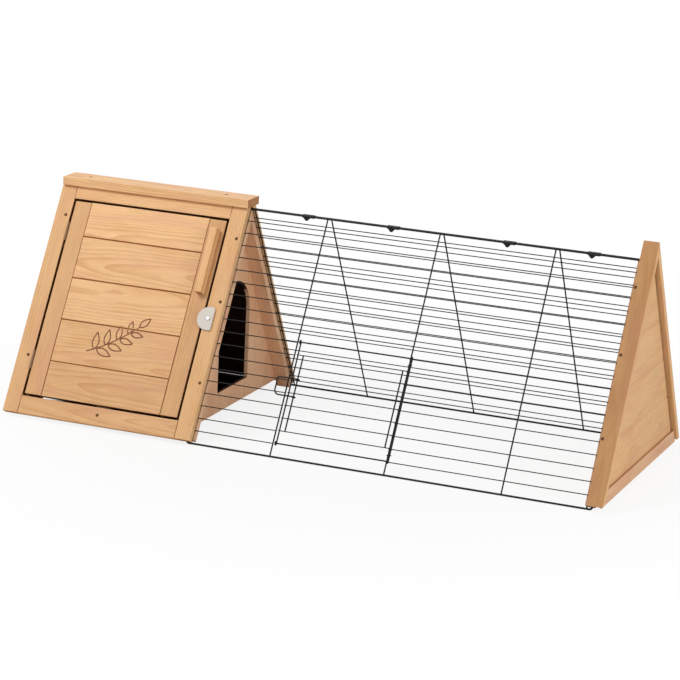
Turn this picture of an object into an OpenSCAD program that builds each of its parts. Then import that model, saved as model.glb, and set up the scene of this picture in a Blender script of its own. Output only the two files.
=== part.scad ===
// Rabbit house: a ridge-shaped timber hutch with a wire run.
// Millimetres, +Z up, +X along the ridge, front towards -Y.
// The origin lies on the floor, under the middle of the house.
// Pieces on a slope are placed by x, by v (up the slope) and by d (out of it).

/* [House] */
// Angle of both slopes above the floor
slope = 60; // [56:1:64]
// Length of the wire panels up the slope, between border centres
panel_len = 500; // [440:1:560]
// Distance between the two panels' top borders at the ridge
ridge_gap = 5; // [4.6:0.1:8]
// Length of the hutch along the ridge
hutch_len = 422; // [400:1:480]
// Length of the run along the ridge
run_len = 858; // [800:1:1000]

/* [Wire panels] */
// Diameter of the border wire
border_d = 4; // [3:0.1:5]
// Diameter of the uprights
upright_d = 3; // [2:0.1:4]
// Diameter of the bars
bar_d = 2; // [1.5:0.1:3]
// Bend of the border wire at the panel's corners, along its centre
border_bend = 5; // [3:0.5:10]
// Distance of the outer uprights from the border
edge_bay = 12; // [11:0.5:20]
// Spaces between bars, from the bottom border to the top one
row_count = 19; // [17:1:22]
// Distance from the middle upright to the next
bay_w = 241.5; // [200:0.5:280]
// Distance of the left border behind the hutch stile's edge
panel_lap = 12.5; // [12:0.1:14]
// Distance of the right border from the end of the house
panel_end = 24.5; // [24:0.1:26]
// Distance of the rear panel past the front one, along the ridge
rear_shift = 5.5; // [4:0.5:8]
// Distances of the ridge clips from the middle upright
clip_x = [-284.5, -100.5, 144.5, 318.5];
// Length of a ridge clip
clip_len = 25; // [15:1:40]
// Wall of a ridge clip
clip_wall = 1.2; // [0.8:0.1:2]
// Opening along a clip's underside
clip_slit = 3; // [1:0.5:4]
// Depth of the pointed lug under a clip
clip_lug = 6; // [3:0.5:8]
// Width of the lug at its root
clip_lug_w = 16; // [8:1:20]

/* [Timber] */
// Thickness of the frame boards and cleats
board_t = 14; // [12:0.5:18]
// Width of the hutch stiles
stile_w = 34; // [30:0.5:40]
// Height of the hutch boards' feet up the slope
hutch_foot = 1; // [0:0.5:8]
// Width of the hutch bottom rails
bottom_rail_w = 37.2; // [32:0.1:44]
// Width of the cleats that clamp the wire beside the partition
mesh_cleat_w = 29; // [24:0.5:34]
// Thickness of the partition
partition_t = 9; // [6:0.5:12]
// Height of the partition's lower edge
partition_z = 16; // [8:1:30]
// Width of the posts at the far end of the run
post_w = 32; // [30:0.5:40]
// Thickness of the end planks
end_plank_t = 12; // [9:0.5:15]
// Distance of the end planks behind the end of the house
end_recess = 10; // [6:0.5:14]
// Width of the end cleats
end_cleat_w = 18; // [12:0.5:24]
// Height of the end planks' lower edge
end_z = 7.5; // [2:0.5:20]
// Height of the posts' feet
post_foot = 13; // [8:0.5:20]
// Height of the first seam between the end planks
end_seam = 119; // [90:1:140]
// Width of the end planks
end_plank_w = 89; // [70:1:100]
// Width of the end rails
end_rail_w = 27.5; // [20:0.5:40]
// Distance of the end rails behind the end of the house
rail_recess = 5; // [3:0.5:8]
// Width of the ridge cap
cap_w = 55; // [45:1:70]
// Thickness of the ridge cap
cap_t = 17; // [12:0.5:22]
// Distance of the cap above the wire panels
cap_clear = 4; // [2:0.5:8]
// Distance of the cap's ends past the hutch's, towards the run
cap_shift = 3; // [0:0.5:6]
// Depth of the ridge batten under the cap
batten_h = 26; // [18:1:36]

/* [Partition doorway] */
// Width of the arched doorway
arch_w = 149; // [110:1:180]
// Height of its sill
arch_sill = 58; // [40:1:80]
// Height at which the round top starts
arch_spring = 204; // [160:1:220]

/* [Hutch door] */
// Gap round the door
door_gap = 5; // [4.6:0.1:7]
// Distance of the door's top below the panels' top border
door_top = 36.6; // [32:0.1:50]
// Width of the door stiles
door_stile_w = 38; // [32:0.5:46]
// Distance from the door's lower edge to the first seam
first_plank = 75.6; // [60:0.1:85]
// Distance from the last seam to the door's upper edge
last_plank = 74; // [60:0.1:85]
// Thickness of the tongues
tongue_t = 5; // [3:0.1:6]
// Length of the tongues
tongue_l = 6; // [4:0.1:9]
// Chamfer along the planks' edges
plank_chamfer = 1.6; // [0.5:0.1:2.5]
// Width of the handle
handle_w = 14.7; // [10:0.1:25]
// Height of the handle off the door
handle_out = 20; // [12:0.5:30]
// Length of the handle
handle_len = 139.5; // [90:0.5:180]
// Distance of the handle from the door's edge
handle_side = 8.3; // [4:0.1:12]
// Distance of the handle below the door's upper edge
handle_top = 21.9; // [15:0.1:60]

/* [Hinges] */
// Length of a butt hinge
hinge_len = 40; // [30:1:60]
// Thickness of the hinge leaves
leaf_t = 1.2; // [0.8:0.1:1.4]
// Distance of the leaves' inner edge from the boards' inner face
leaf_in = 2; // [1:0.5:4]
// Height of the pin off the boards' face
pin_out = 0.5; // [0.4:0.1:2]
// Diameter of the hinge pin
pin_d = 2.4; // [1.6:0.1:2.6]
// Length of the pin's ends past the knuckles
pin_end = 0.5; // [0.2:0.1:2]
// Length of the hinges' screws
hinge_screw_len = 14; // [8:1:16]
// Diameter of the hinges' screws
hinge_screw_d = 2; // [1.6:0.1:2.4]
// Diameter of their heads
hinge_head_d = 4.4; // [3.6:0.1:5]
// Distance of the lower hinge from the door's lower edge
hinge_low = 72.4; // [50:0.1:100]
// Distance of the upper hinge from the door's upper edge
hinge_high = 67.7; // [50:0.1:100]

/* [Turn button] */
// Radius of the button
button_r = 25; // [20:0.5:28]
// Distance of its flat from the screw
button_flat = 9.5; // [6:0.5:10]
// Thickness of the button
button_t = 4.2; // [3:0.1:6]
// Rounding of the button's edge
button_round = 1.2; // [0.4:0.1:1.5]
// Distance of its screw from the stile's edge
button_side = 10.5; // [10.4:0.1:14]
// Distance of its screw above the panels' middle
button_up = 4; // [-10:1:12]
// Diameter of its screw
button_screw_d = 4; // [3:0.1:5]
// Height of its screw's head
button_head = 2.2; // [1:0.1:3]

/* [Screws] */
// Diameter of the wood screws
screw_d = 3; // [2.5:0.1:3.4]
// Diameter of their heads
head_d = 7; // [6:0.1:7.2]
// Length of the wood screws
screw_len = 30; // [26:1:32]
// Distance of the left stile's screws from the end of the hutch
left_screw = 24; // [23:0.5:30]
// Distance of the right stile's screws from its edge, front and rear
right_screw = [8.6, 13];
// Distance of the post screws from the end of the house, front and rear
post_screw = [28.4, 26];
// Places of the left stile's screws up the slope, in rows of the mesh
left_screw_row = [4.71, 16.36];
// Places of the right stile's screws up the slope, in rows of the mesh
right_screw_row = [4.59, 11.12, 16.29];
// Places of the post screws up the slope, in rows of the mesh
post_screw_row = [5.12, 11.49, 16.7];
// Place of the stop's screw up the slope
stop_screw_v = 21.9; // [16:0.1:26]
// Distances of the cap screws from the two ends of the hutch
cap_screw = [53, 58];

/* [Wire door] */
// First and last row of bars that the doorway and its door cover
door_rows = [1, 9];
// Distance of the door's left side from the upright beside it
door_left = 9.3; // [6:0.1:14]
// Distance of the door's right side from the upright it hangs on
door_right = 5; // [4:0.1:7]
// Distances of the two inner uprights from the door's sides
stiff_in = [11.7, 13.5];
// Gap between the door and the panel
wire_gap = 0.3; // [0.2:0.1:1]
// Diameter of the ring wire at the hinge
ring_d = 1.6; // [1:0.1:2]
// Diameter of the latch wire
latch_d = 3; // [2:0.1:3]
// Reach of the latch from its pivot
latch_reach = 41; // [30:1:60]
// Places of the latch's two legs up the slope from the wire door's middle, in rows of the mesh
latch_leg_row = [-0.2698, 1.1172];
// Bends of the latch at its lower and its upper corner
latch_bend = [10, 4];

/* [Hidden] */
// Clearance between pieces that seat on each other
seat = 0.1;
// Clearance between pieces that slide or turn
play = 0.3;
// Clearance of a pin in its bore
run_fit = 0.06;
// Clearance between the ends of a bent wire's lengths
butt = 0.02;
far = 2000;

border_r = border_d / 2;
upright_r = upright_d / 2;
bar_r = bar_d / 2;
row_h = panel_len / row_count;
foot_y = panel_len * cos(slope) + ridge_gap / 2;
top_z = border_r + panel_len * sin(slope);
cap_z = top_z + border_r + cap_clear;

x_left = -(hutch_len + run_len) / 2;
x_wall = x_left + hutch_len;
x_end = x_wall + run_len;
panel_x0 = x_wall - panel_lap;
panel_x1 = x_end - panel_end;
panel_xc = (panel_x0 + panel_x1) / 2;
uprights = [panel_x0 + edge_bay, panel_xc - bay_w, panel_xc, panel_xc + bay_w,
            panel_x1 - edge_bay];

// Faces of the outer boards and of the inner cleats, out of the slope
out0 = upright_r + bar_d + seat;
out1 = out0 + board_t;
in0 = -(border_r + seat);
in1 = in0 - board_t;
bar_out = upright_r + bar_r;
in_foot = -(border_r + in1 * cos(slope)) / sin(slope) + seat;
board_top = (cap_z - border_r - in1 * cos(slope)) / sin(slope) + board_t;

door_x0 = x_left + stile_w + door_gap;
door_x1 = x_wall - stile_w - door_gap;
door_v0 = hutch_foot + bottom_rail_w + door_gap;
door_v1 = panel_len - door_top;
plank_w = (door_v1 - last_plank - door_v0 - first_plank) / 3;
seams = [door_v0, for (i = [0:3]) door_v0 + first_plank + i * plank_w, door_v1];
handle_v1 = door_v1 - handle_top;
hinge_v = [door_v0 + hinge_low, door_v1 - hinge_high];

pin_x = door_x0 - door_gap / 2;
pin_z = out1 + pin_out;
knuckle_r = door_gap / 2 - play;
knuckle_l = (hinge_len - 2 * play) / 3;

wire_z = upright_r + bar_d + wire_gap + upright_r;
eye_r = 2 * upright_r + play;
ring_r = upright_r + play + ring_d / 2;
wire_x0 = uprights[1] + door_left;
wire_x1 = uprights[2] + door_right;
wire_v0 = door_rows[0] * row_h;
wire_v1 = door_rows[1] * row_h;
pivot_x = wire_x0 + stiff_in[0];
latch_r = upright_r + play + latch_d / 2;
latch_v = [for (l = latch_leg_row) (wire_v0 + wire_v1) / 2 + l * row_h];

button_x = x_wall - stile_w + button_side;
button_v = panel_len / 2 + button_up;
stop_x = (door_x0 + door_x1) / 2;

pine = [0.87, 0.70, 0.51];
pine_inner = [0.78, 0.65, 0.53];
black = [0.07, 0.07, 0.07];
steel = [0.72, 0.72, 0.72];

$fn = 32;

// Half the width between the two planes at distance d off the slopes, at height z
function half_y(z, d) = foot_y - (z - border_r) / tan(slope) + d / sin(slope);
function apex_z(d) = border_r + (foot_y + d / sin(slope)) * tan(slope);

module on_front() translate([0, -foot_y, border_r]) rotate([slope, 0, 0]) children();
module on_rear() mirror([0, 1, 0]) on_front() children();
module on_rear_panel() translate([rear_shift, 0, 0]) on_rear() children();

// A profile drawn in y and z, extruded along x
module along_x(x0, x1)
    translate([x0, 0, 0]) rotate([90, 0, 90]) linear_extrude(height = x1 - x0) children();

module board(x0, x1, v0, v1, d0, d1) translate([x0, v0, d0]) cube([x1 - x0, v1 - v0, d1 - d0]);

// Everything above the cap's underside, below the posts' feet, and behind the ridge's middle
module above_cap() translate([-far, -far, cap_z]) cube([2 * far, 2 * far, far]);
module below_posts() translate([-far, -far, post_foot - far]) cube([2 * far, 2 * far, far]);
module behind_ridge() translate([-far, -seat / 2, -far]) cube([2 * far, far, 2 * far]);

// Countersunk wood screw with its head in the face at d = 0
module wood_screw(len = screw_len, grow = 0) {
    translate([0, 0, -len - grow]) cylinder(h = len - head_d / 4 + grow, r = screw_d / 2 + grow);
    translate([0, 0, -(head_d - screw_d) / 2])
        cylinder(h = (head_d - screw_d) / 2, r1 = screw_d / 2 + grow, r2 = head_d / 2 + grow);
    if (grow > 0) cylinder(h = 1, r = head_d / 2 + grow);
}
module cross_slot() for (a = [0, 90]) rotate([0, 0, a])
    translate([-head_d / 4, -0.4, -0.9]) cube([head_d / 2, 0.8, 2]);

module screws_at(x, vs, grow = 0)
    for (v = vs) translate([x, v, out1]) difference() {
        wood_screw(grow = grow);
        if (grow == 0) cross_slot();
    }

// Side 0 is the front and side 1 the rear
module left_screws(grow = 0) screws_at(x_left + left_screw, left_screw_row * row_h, grow);
module right_screws(side, grow = 0) screws_at(x_wall - right_screw[side], right_screw_row * row_h, grow);
module post_screws(side, grow = 0) screws_at(x_end - post_screw[side], post_screw_row * row_h, grow);
module stop_screws(grow = 0) screws_at(stop_x, [stop_screw_v], grow);

// Hutch frame, drawn for the front and mirrored for the rear
module hutch_left_stile(side) difference() {
    on_front() difference() {
        board(x_left, x_left + stile_w, hutch_foot, board_top, out0, out1);
        left_screws(grow = seat);
        if (side == 1) panel_groove(x_left + stile_w, -1);
        else hinge_screws_frame(grow = seat);
    }
    above_cap();
    behind_ridge();
}

module hutch_right_stile(side) difference() {
    on_front() difference() {
        board(x_wall - stile_w, x_wall, hutch_foot, board_top, out0, out1);
        right_screws(side, grow = seat);
        if (side == 1) panel_groove(x_wall - stile_w, 1);
        else translate([button_x, button_v, out1 - board_t - 1])
            cylinder(h = board_t + 2, r = button_screw_d / 2 + seat);
    }
    above_cap();
    behind_ridge();
}

module hutch_bottom_rail(screwed) on_front() difference() {
    board(x_left + stile_w, x_wall - stile_w, hutch_foot, hutch_foot + bottom_rail_w, out0, out1);
    if (screwed) stop_screws(grow = seat);
}

module hutch_top_rail() difference() {
    on_front() board(x_left + stile_w, x_wall - stile_w, door_v1 + door_gap, board_top, out0, out1);
    above_cap();
    behind_ridge();
    translate([x_left + cap_screw[0], 0, cap_z + cap_t]) wood_screw(grow = seat);
    translate([x_wall - cap_screw[1], 0, cap_z + cap_t]) wood_screw(grow = seat);
}

module front_left_stile() color(pine) hutch_left_stile(0);
module front_right_stile() color(pine) hutch_right_stile(0);
module front_bottom_rail() color(pine) hutch_bottom_rail(true);
module front_top_rail() color(pine) hutch_top_rail();
module rear_left_stile() color(pine) mirror([0, 1, 0]) hutch_left_stile(1);
module rear_right_stile() color(pine) mirror([0, 1, 0]) hutch_right_stile(1);
module rear_bottom_rail() color(pine) mirror([0, 1, 0]) hutch_bottom_rail(false);
module rear_top_rail() color(pine) mirror([0, 1, 0]) hutch_top_rail();

// Groove for the planks' end tongues, which opens at x; side 1 cuts towards +x
mid_d = (out0 + out1) / 2;
module panel_groove(x, side)
    board(side > 0 ? x - 1 : x - tongue_l - play, side > 0 ? x + tongue_l + play : x + 1,
          -far, far, mid_d - tongue_t / 2 - seat, mid_d + tongue_t / 2 + seat);

// Section of a tongue-and-groove plank from v0 to v1, with its outer face at out1
function tg_section(v0, v1, tongue, groove) = let (
        a = mid_d - tongue_t / 2, b = mid_d + tongue_t / 2,
        lo = v0 + (groove ? seat : 0), hi = v1 - (tongue ? seat : 0),
        deep = lo + tongue_l + play)
    concat([[lo, out0], [hi, out0]],
        tongue ? [[hi, a], [hi + tongue_l, a], [hi + tongue_l, b], [hi, b],
                  [hi, out1 - plank_chamfer], [hi - plank_chamfer, out1]] : [[hi, out1]],
        groove ? [[lo + plank_chamfer, out1], [lo, out1 - plank_chamfer], [lo, b + seat],
                  [deep, b + seat], [deep, a - seat], [lo, a - seat]] : [[lo, out1]]);

module tg_plank(x0, x1, v0, v1, tongue, groove, ends) {
    along_x(x0, x1) polygon(tg_section(v0, v1, tongue, groove));
    if (ends) for (x = [x0 - tongue_l, x1 - 1])
        board(x, x + tongue_l + 1, v0 + tongue_l + 2 * play, v1 - play,
              mid_d - tongue_t / 2, mid_d + tongue_t / 2);
}

rear_seams = [door_v0 - door_gap, for (i = [1:4]) seams[i], door_v1 + door_gap];
module rear_planks() color(pine) on_rear() for (i = [0:4])
    tg_plank(x_left + stile_w, x_wall - stile_w, rear_seams[i], rear_seams[i + 1], i < 4, i > 0, true);

// Boards that close an end, between heights z0 and z1
module gable(x0, x1, z0, z1, d) along_x(x0, x1)
    polygon(z1 < apex_z(d) - 0.01
        ? [[-half_y(z0, d), z0], [half_y(z0, d), z0], [half_y(z1, d), z1], [-half_y(z1, d), z1]]
        : [[-half_y(z0, d), z0], [half_y(z0, d), z0], [0, apex_z(d)]]);

// Horizontal end planks out to the plane at d; outside is the side their chamfers show on
module gable_planks(x0, x1, outside, top, d) {
    zs = [end_z, end_seam, end_seam + end_plank_w, end_seam + 2 * end_plank_w, top];
    xm = (x0 + x1) / 2;
    tt = tongue_t - 1;
    for (i = [0:3]) difference() {
        union() {
            gable(x0, x1, zs[i] + (i > 0 ? seat : 0), zs[i + 1] - (i < 3 ? seat : 0), d);
            if (i < 3) gable(xm - tt / 2, xm + tt / 2, zs[i + 1] - 1, zs[i + 1] - seat + tongue_l, d);
        }
        if (i > 0)
            gable(xm - tt / 2 - seat, xm + tt / 2 + seat, zs[i] - 1, zs[i] + tongue_l + play, out1);
        for (k = [i, i + 1]) if (k > 0 && k < 4) translate([outside > 0 ? x1 : x0, 0, zs[k]])
            rotate([0, 45, 0]) cube([plank_chamfer * 1.41, far, plank_chamfer * 1.41], center = true);
    }
}

module gable_rail(x0, x1) gable(x0, x1, end_z, end_z + end_rail_w, out0 - play);

module slope_cleat(x0, x1) difference() {
    on_front() board(x0, x1, in_foot, panel_len, in1, in0);
    behind_ridge();
}

module left_wall_planks() color(pine)
    gable_planks(x_left + end_recess, x_left + end_recess + end_plank_t, -1, cap_z - seat, out0 - play);
module left_wall_rail() color(pine) gable_rail(x_left + rail_recess, x_left + end_recess);
module left_wall_cleats() color(pine_inner) for (s = [0, 1]) mirror([0, s, 0]) difference() {
    slope_cleat(x_left + end_recess + end_plank_t, x_left + end_recess + end_plank_t + end_cleat_w);
    on_front() left_screws(grow = seat);
}

module partition() color(pine_inner) difference() {
    gable(x_wall - mesh_cleat_w - partition_t, x_wall - mesh_cleat_w,
          partition_z, cap_z - seat, out0 - play);
    along_x(-far, far) union() {
        translate([-arch_w / 2, arch_sill]) square([arch_w, arch_spring - arch_sill]);
        translate([0, arch_spring]) circle(r = arch_w / 2, $fn = 96);
    }
}

module mesh_cleat(side) difference() {
    slope_cleat(x_wall - mesh_cleat_w, x_wall);
    on_front() right_screws(side, grow = seat);
}
module mesh_cleat_front() color(pine_inner) mesh_cleat(0);
module mesh_cleat_rear() color(pine_inner) mirror([0, 1, 0]) mesh_cleat(1);

// Strip of wood under the ridge, which the cap screws hold
module ridge_batten() color(pine_inner) difference() {
    gable(x_left + end_recess + end_plank_t + end_cleat_w + play,
          x_wall - mesh_cleat_w - partition_t - play, cap_z - batten_h, cap_z - seat, border_r);
    cap_screw_set(grow = seat);
}

module cap_screw_set(grow = 0) for (x = [x_left + cap_screw[0], x_wall - cap_screw[1]])
    translate([x, 0, cap_z + cap_t]) difference() {
        wood_screw(grow = grow);
        if (grow == 0) cross_slot();
    }

module ridge_cap() color(pine) difference() {
    translate([x_left + cap_shift, -cap_w / 2, cap_z]) cube([hutch_len, cap_w, cap_t]);
    cap_screw_set(grow = seat);
}

// Block that the closed hutch door lies against
module door_stop() color(pine_inner) on_front() difference() {
    board(stop_x - board_t, stop_x + board_t, in_foot, door_v0 + bottom_rail_w / 4,
          out0 - play - board_t, out0 - play);
    stop_screws(grow = seat);
}

module end_post(side) difference() {
    on_front() difference() {
        board(x_end - post_w, x_end, 0, board_top + far / 20, out0, out1);
        post_screws(side, grow = seat);
    }
    behind_ridge();
    below_posts();
}
module end_post_front() color(pine) end_post(0);
module end_post_rear() color(pine) mirror([0, 1, 0]) end_post(1);
module end_planks() color(pine)
    gable_planks(x_end - end_recess - end_plank_t, x_end - end_recess, 1, apex_z(in0), in0);
module end_rail() color(pine) gable_rail(x_end - end_recess, x_end - rail_recess);
module end_cleats() color(pine_inner) for (s = [0, 1]) mirror([0, s, 0]) difference() {
    slope_cleat(x_end - end_recess - end_plank_t - end_cleat_w, x_end - end_recess - end_plank_t);
    on_front() post_screws(s, grow = seat);
}

// Wires: along x, up the slope, and a bend in the plane of the panel
module wire_x(x0, x1, v, d, r) translate([x0, v, d]) rotate([0, 90, 0]) cylinder(h = x1 - x0, r = r);
module wire_v(x, v0, v1, d, r) translate([x, v0, d]) rotate([-90, 0, 0]) cylinder(h = v1 - v0, r = r);
module bend(x, v, d, from, bend_r, r) translate([x, v, d]) rotate([0, 0, from])
    rotate_extrude(angle = 90) translate([bend_r, 0]) circle(r = r);

module mesh_border() {
    b = border_bend;
    for (v = [0, panel_len]) wire_x(panel_x0 + b + butt, panel_x1 - b - butt, v, 0, border_r);
    for (x = [panel_x0, panel_x1]) wire_v(x, b + butt, panel_len - b - butt, 0, border_r);
    bend(panel_x1 - b, panel_len - b, 0, 0, b, border_r);
    bend(panel_x0 + b, panel_len - b, 0, 90, b, border_r);
    bend(panel_x0 + b, b, 0, 180, b, border_r);
    bend(panel_x1 - b, b, 0, 270, b, border_r);
}
module mesh_uprights() for (x = uprights)
    wire_v(x, border_r + butt, panel_len - border_r - butt, 0, upright_r);
module mesh_bars(doorway) for (i = [1:row_count - 1]) {
    x0 = panel_x0 + border_r;
    x1 = panel_x1 - border_r;
    if (doorway && i >= door_rows[0] && i <= door_rows[1]) {
        wire_x(x0, uprights[1] + upright_r, i * row_h, bar_out, bar_r);
        wire_x(uprights[2] - upright_r, x1, i * row_h, bar_out, bar_r);
    } else wire_x(x0, x1, i * row_h, bar_out, bar_r);
}
module front_mesh_border() color(black) on_front() mesh_border();
module front_mesh_uprights() color(black) on_front() mesh_uprights();
module front_mesh_bars() color(black) on_front() mesh_bars(true);
module rear_mesh_border() color(black) on_rear_panel() mesh_border();
module rear_mesh_uprights() color(black) on_rear_panel() mesh_uprights();
module rear_mesh_bars() color(black) on_rear_panel() mesh_bars(false);

// Slit sleeves that hold the two top borders together
module pill(r) {
    for (s = [-1, 1]) translate([s * ridge_gap / 2, top_z]) circle(r = r);
    translate([-ridge_gap / 2, top_z - r]) square([ridge_gap, 2 * r]);
}
module ridge_clips() color(black) for (c = clip_x) {
    x = panel_xc + c - clip_len / 2;
    lip = border_r + seat + clip_wall;
    along_x(x, x + clip_len) difference() {
        pill(lip);
        pill(border_r + seat);
        translate([-clip_slit / 2, top_z - 2 * lip]) square([clip_slit, 2 * lip]);
    }
    translate([x + 1, (clip_wall - ridge_gap) / 2, top_z - lip + clip_wall / 2]) rotate([90, 0, 0])
        linear_extrude(height = clip_wall) polygon([[0, 0], [clip_lug_w, 0],
            [clip_lug_w * 0.6, -clip_wall / 2 - clip_lug], [clip_lug_w * 0.35, -clip_wall / 2 - clip_lug]]);
}

module frame_screws() color(steel) {
    for (s = [0, 1]) mirror([0, s, 0]) on_front() {
        left_screws();
        right_screws(s);
        post_screws(s);
    }
    on_front() stop_screws();
}
module cap_screws() color(steel) cap_screw_set();

// Butt hinges: outer knuckles on the stile, the middle one on the door
module small_screw(grow) {
    r = hinge_screw_d / 2 + grow;
    translate([0, 0, -hinge_screw_len - grow]) cylinder(h = hinge_screw_len - leaf_t + grow, r = r);
    translate([0, 0, -leaf_t]) cylinder(h = leaf_t, r1 = r, r2 = hinge_head_d / 2 + grow);
}
module leaf_screws(x, turn, grow) for (v = hinge_v, k = [-1, 1])
    translate([x, v + k * hinge_len / 3, out0 + board_t / 2]) rotate([0, turn, 0]) small_screw(grow);
module hinge_screws_frame(grow = 0) leaf_screws(x_left + stile_w + leaf_t, 90, grow);
module hinge_screws_door(grow = 0) leaf_screws(door_x0 - leaf_t, -90, grow);

module knuckle(x, v0, v1) {
    wire_v(pin_x, v0, v1, pin_z, knuckle_r);
    board(x, x + leaf_t, v0, v1, out1 - 1, pin_z);
}
// A leaf from v0 up, with its knuckles at the places in ks, and room for the others
module hinge_leaf(x, v0, ks, others) {
    step = knuckle_l + play;
    difference() {
        union() {
            board(x, x + leaf_t, v0, v0 + hinge_len, out0 + leaf_in, out1);
            for (k = ks) knuckle(x, v0 + k * step, v0 + k * step + knuckle_l);
        }
        wire_v(pin_x, v0 - 1, v0 + hinge_len + 1, pin_z, pin_d / 2 + run_fit);
        for (k = others) wire_v(pin_x, v0 + k * step - play, v0 + k * step + knuckle_l + play,
                                pin_z, knuckle_r + play);
    }
}
module hinge_frame_leaves() color(steel) on_front() difference() {
    for (v = hinge_v) hinge_leaf(x_left + stile_w, v - hinge_len / 2, [0, 2], [1]);
    hinge_screws_frame(grow = run_fit);
}
module hinge_door_leaves() color(steel) on_front() difference() {
    for (v = hinge_v) hinge_leaf(door_x0 - leaf_t, v - hinge_len / 2, [1], [0, 2]);
    hinge_screws_door(grow = run_fit);
}
module hinge_pins() color(steel) on_front() for (v = hinge_v)
    wire_v(pin_x, v - hinge_len / 2 - pin_end, v + hinge_len / 2 + pin_end, pin_z, pin_d / 2);
module hinge_frame_screws() color(steel) on_front() hinge_screws_frame();
module hinge_door_screws() color(steel) on_front() hinge_screws_door();

// Panelled hutch door
module door_left_stile() color(pine) on_front() difference() {
    board(door_x0, door_x0 + door_stile_w, door_v0, door_v1, out0, out1);
    panel_groove(door_x0 + door_stile_w, -1);
    hinge_screws_door(grow = seat);
}
module door_right_stile() color(pine) on_front() difference() {
    board(door_x1 - door_stile_w, door_x1, door_v0, door_v1, out0, out1);
    panel_groove(door_x1 - door_stile_w, 1);
    handle_screw_set(grow = seat);
}
module door_plank(i) color(pine) on_front()
    tg_plank(door_x0 + door_stile_w, door_x1 - door_stile_w, seams[i - 1], seams[i], i < 5, i > 1, true);
module door_plank_1() door_plank(1);
module door_plank_2() door_plank(2);
module door_plank_3() door_plank(3);
module door_plank_4() door_plank(4);
module door_plank_5() door_plank(5);

module door_handle() color(pine) on_front() difference() {
    board(door_x1 - handle_side - handle_w, door_x1 - handle_side, handle_v1 - handle_len,
          handle_v1, out1, out1 + handle_out);
    handle_screw_set(grow = seat);
}
// Screws from the door's inner face into the handle
module handle_screw_set(grow = 0) for (k = [0.2, 0.8])
    translate([door_x1 - handle_side - handle_w / 2, handle_v1 - k * handle_len, out0])
        rotate([180, 0, 0]) wood_screw(len = board_t + handle_out * 0.6, grow = grow);
module handle_screws() color(steel) on_front() handle_screw_set();

// Turn button: a disc with a flat, free to turn on its screw
module turn_button() color([0.85, 0.85, 0.83]) on_front() translate([button_x, button_v, out1 + play])
    difference() {
        rotate_extrude($fn = 64) polygon([[button_screw_d / 2 + run_fit, 0], [button_r, 0],
            [button_r, button_t - button_round], [button_r - button_round, button_t],
            [button_screw_d / 2 + run_fit, button_t]]);
        translate([button_flat, -far, -far]) cube([far, 2 * far, 2 * far]);
    }
module button_screw() color(steel) on_front() translate([button_x, button_v, out1]) difference() {
    union() {
        translate([0, 0, -board_t - play])
            cylinder(h = board_t + 3 * play + button_t, r = button_screw_d / 2);
        translate([0, 0, 2 * play + button_t])
            cylinder(h = button_head, r1 = button_screw_d, r2 = button_screw_d * 0.8);
    }
    translate([0, 0, 2 * play + button_t + button_head]) cross_slot();
}

// Rings that tie the wire door to the upright beside it
module wire_hinge_rings() color(black) on_front()
    for (v = [(door_rows[0] + 0.5) * row_h, (door_rows[1] - 0.5) * row_h]) {
        span = norm([door_right, wire_z]);
        translate([uprights[2], v, 0]) rotate([0, -atan2(wire_z, door_right), 0]) rotate([90, 0, 0]) {
            rotate([0, 0, 90]) half_ring();
            translate([span, 0, 0]) rotate([0, 0, 270]) half_ring();
            for (s = [-1, 1]) translate([0, s * ring_r, 0]) rotate([0, 90, 0])
                cylinder(h = span, r = ring_d / 2, $fn = 16);
        }
    }
module half_ring() rotate_extrude(angle = 180) translate([ring_r, 0]) circle(r = ring_d / 2, $fn = 16);

// Wire door: two sides, a top and a bottom wire, inner uprights and bars
module wire_door_frame() color(black) on_front() {
    for (x = [wire_x0, wire_x1]) wire_v(x, wire_v0 + butt, wire_v1 - butt, wire_z, upright_r);
    for (v = [wire_v0, wire_v1])
        wire_x(wire_x0 - upright_r, wire_x1 + upright_r, v, wire_z + eye_r, upright_r);
}
// The sides' ends, curled round the top and the bottom wire
module wire_door_eyes() color(black) on_front() for (x = [wire_x0, wire_x1]) {
    translate([x, wire_v0, wire_z + eye_r]) eye();
    translate([x, wire_v1, wire_z + eye_r]) mirror([0, 1, 0]) eye();
}
module eye() rotate([0, -90, 0]) rotate([0, 0, 180]) rotate_extrude(angle = 250)
    translate([eye_r, 0]) circle(r = upright_r, $fn = 24);
module wire_door_stiffeners() color(black) on_front()
    for (x = [pivot_x, wire_x1 - stiff_in[1]])
        wire_v(x, wire_v0 + row_h, wire_v1 - row_h, wire_z, upright_r);
module wire_door_bars() color(black) on_front() for (i = [door_rows[0] + 1:door_rows[1] - 1])
    wire_x(wire_x0 - upright_r, wire_x1 + upright_r, i * row_h, wire_z + upright_r + bar_r, bar_r);

// Latch: a U of wire with eyes round the door's inner upright
module wire_latch() color(black) on_front() {
    r = latch_d / 2;
    d = wire_z + latch_r;
    xl = pivot_x - latch_reach;
    for (k = [0, 1]) {
        wire_x(xl + latch_bend[k], pivot_x, latch_v[k], d, r);
        translate([pivot_x, latch_v[k], wire_z]) rotate([90, 0, 0]) rotate([0, 0, -180])
            rotate_extrude(angle = 270) translate([latch_r, 0]) circle(r = r, $fn = 24);
    }
    wire_v(xl, latch_v[0] + latch_bend[0], latch_v[1] - latch_bend[1], d, r);
    bend(xl + latch_bend[0], latch_v[0] + latch_bend[0], d, 180, latch_bend[0], r);
    bend(xl + latch_bend[1], latch_v[1] - latch_bend[1], d, 90, latch_bend[1], r);
}

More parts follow.
